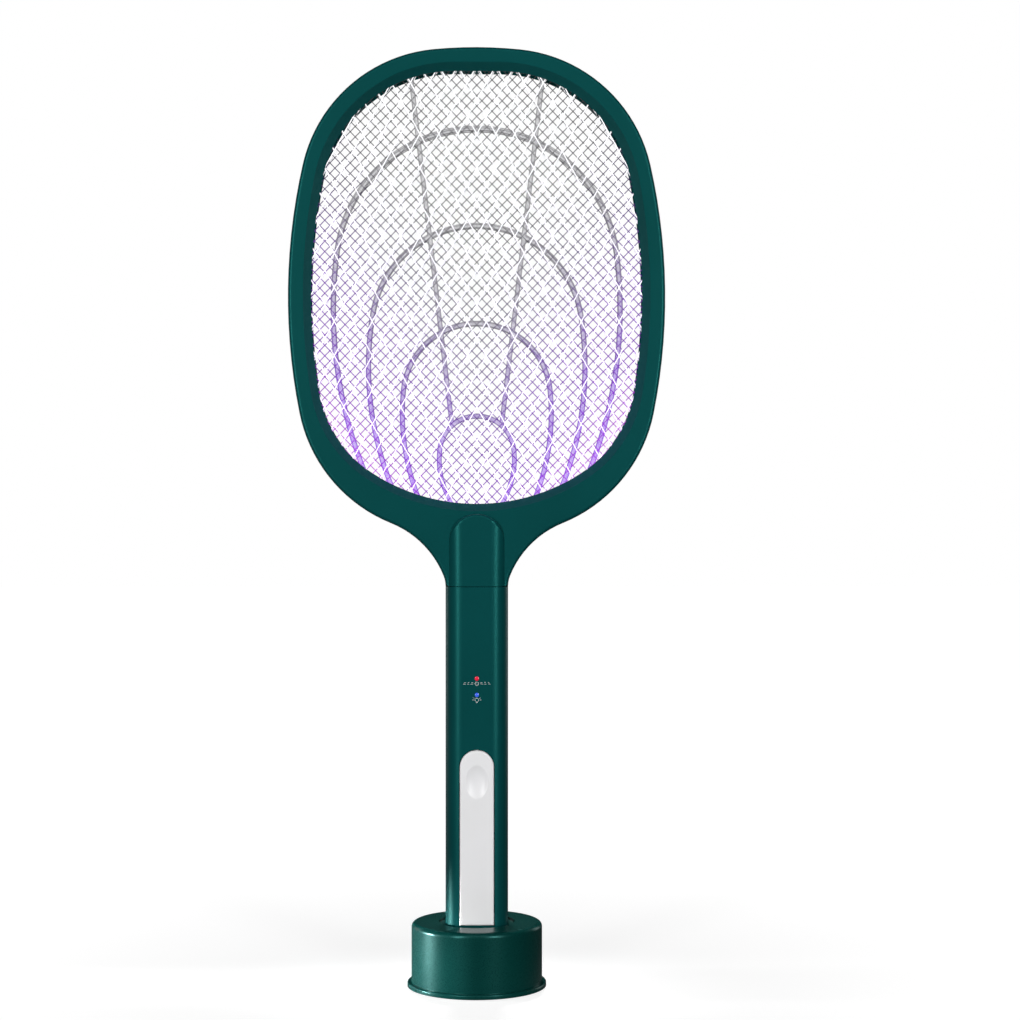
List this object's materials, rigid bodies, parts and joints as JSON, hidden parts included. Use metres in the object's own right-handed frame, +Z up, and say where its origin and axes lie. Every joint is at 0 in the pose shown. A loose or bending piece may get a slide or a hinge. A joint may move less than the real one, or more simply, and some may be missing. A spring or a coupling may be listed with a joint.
{
  "type": "electric fly swatter",
  "caption": "Racket-shaped electric fly swatter with a wire net, violet insect lamp and trigger key, standing upright in a round charging dock.",
  "frame": {"origin": "centre of the dock's underside, on the plane the rubber feet stand on", "axes": "+Z up along the handle, +X across the head, -Y the front with the trigger key"},
  "size_m": [0.2012, 0.0744, 0.5019],
  "materials": {
    "green_plastic": "satin",
    "white_plastic": "satin",
    "white_wire": "satin white coat",
    "clear_ribs": "clear frosted",
    "grid_steel": "dull",
    "screw_steel": "plain",
    "spring_steel": "plain",
    "contact_brass": "plain",
    "circuit_board": "solder mask",
    "black_plastic": "matte",
    "coil_tape": "tape",
    "capacitor_dip": "dipped",
    "cell_can": "sleeved can",
    "clear_window": "clear",
    "violet_lamp": "clear lens",
    "red_light": "clear lens",
    "blue_light": "clear lens",
    "foot_rubber": "matte",
    "lead_cover": "matte"
  },
  "bodies": {
    "dock": {"base_housing": "green_plastic", "base_plate": "green_plastic", "base_feet": "foot_rubber", "base_screws": "screw_steel", "base_board": "circuit_board", "usb_socket": "screw_steel", "contact_block": "black_plastic", "pin_spring_left": "spring_steel", "pin_spring_right": "spring_steel"},
    "swatter": {"head_front_frame": "green_plastic", "head_rear_frame": "green_plastic", "handle_front_shell": "green_plastic", "handle_rear_shell": "green_plastic", "handle_end_cap": "green_plastic", "front_guard_mesh": "white_wire", "rear_guard_mesh": "white_wire", "front_rib_spacer": "clear_ribs", "rear_rib_spacer": "clear_ribs", "hv_grid": "grid_steel", "head_screws": "screw_steel", "handle_screws": "screw_steel", "board_screws": "screw_steel", "key_pivot_pin": "screw_steel", "charge_pads": "contact_brass", "battery_clips": "contact_brass", "lamp_board": "circuit_board", "main_board": "circuit_board", "key_switch": "black_plastic", "mode_switch": "black_plastic", "board_components": "black_plastic", "hv_transformer": "coil_tape", "hv_capacitors": "capacitor_dip", "battery_cell": "cell_can", "lamp_window": "clear_window", "uv_leds": "violet_lamp", "red_light_pipe": "red_light", "blue_light_pipe": "blue_light", "grid_leads": "lead_cover"},
    "contact_pin_left": {"contact_pin_left": "contact_brass"},
    "contact_pin_right": {"contact_pin_right": "contact_brass"},
    "press_key": {"press_key": "white_plastic"},
    "switch_stem": {"switch_stem": "black_plastic"},
    "mode_slider": {"mode_slider": "green_plastic"}
  },
  "joints": [
    {"name": "swatter_lift", "type": "slide", "parent": "dock", "child": "swatter", "axis": [0, 0, 1], "range_m": [0, 0.06]},
    {"name": "key_press", "type": "hinge", "parent": "swatter", "child": "press_key", "pos_m": [0, -0.0083, 0.0396], "axis": [-1, 0, 0], "range_deg": [0, 0.75], "stiffness_Nm_per_rad": 8, "springref_deg": -0.57},
    {"name": "stem_press", "type": "slide", "parent": "swatter", "child": "switch_stem", "axis": [0, 1, 0], "range_m": [0, 0.00095]},
    {"name": "mode_slide", "type": "slide", "parent": "swatter", "child": "mode_slider", "axis": [0, 0, 1], "range_m": [-0.003, 0.003]},
    {"name": "pin_left_press", "type": "slide", "parent": "dock", "child": "contact_pin_left", "axis": [0, 0, 1], "range_m": [-0.0008, 0], "stiffness_N_per_m": 300, "deforming": ["pin_spring_left"]},
    {"name": "pin_right_press", "type": "slide", "parent": "dock", "child": "contact_pin_right", "axis": [0, 0, 1], "range_m": [-0.0008, 0], "stiffness_N_per_m": 300, "deforming": ["pin_spring_right"]}
  ],
  "couplings": [
    {"joint": "stem_press", "follows": "key_press", "m_per_rad": 0.0711}
  ]
}
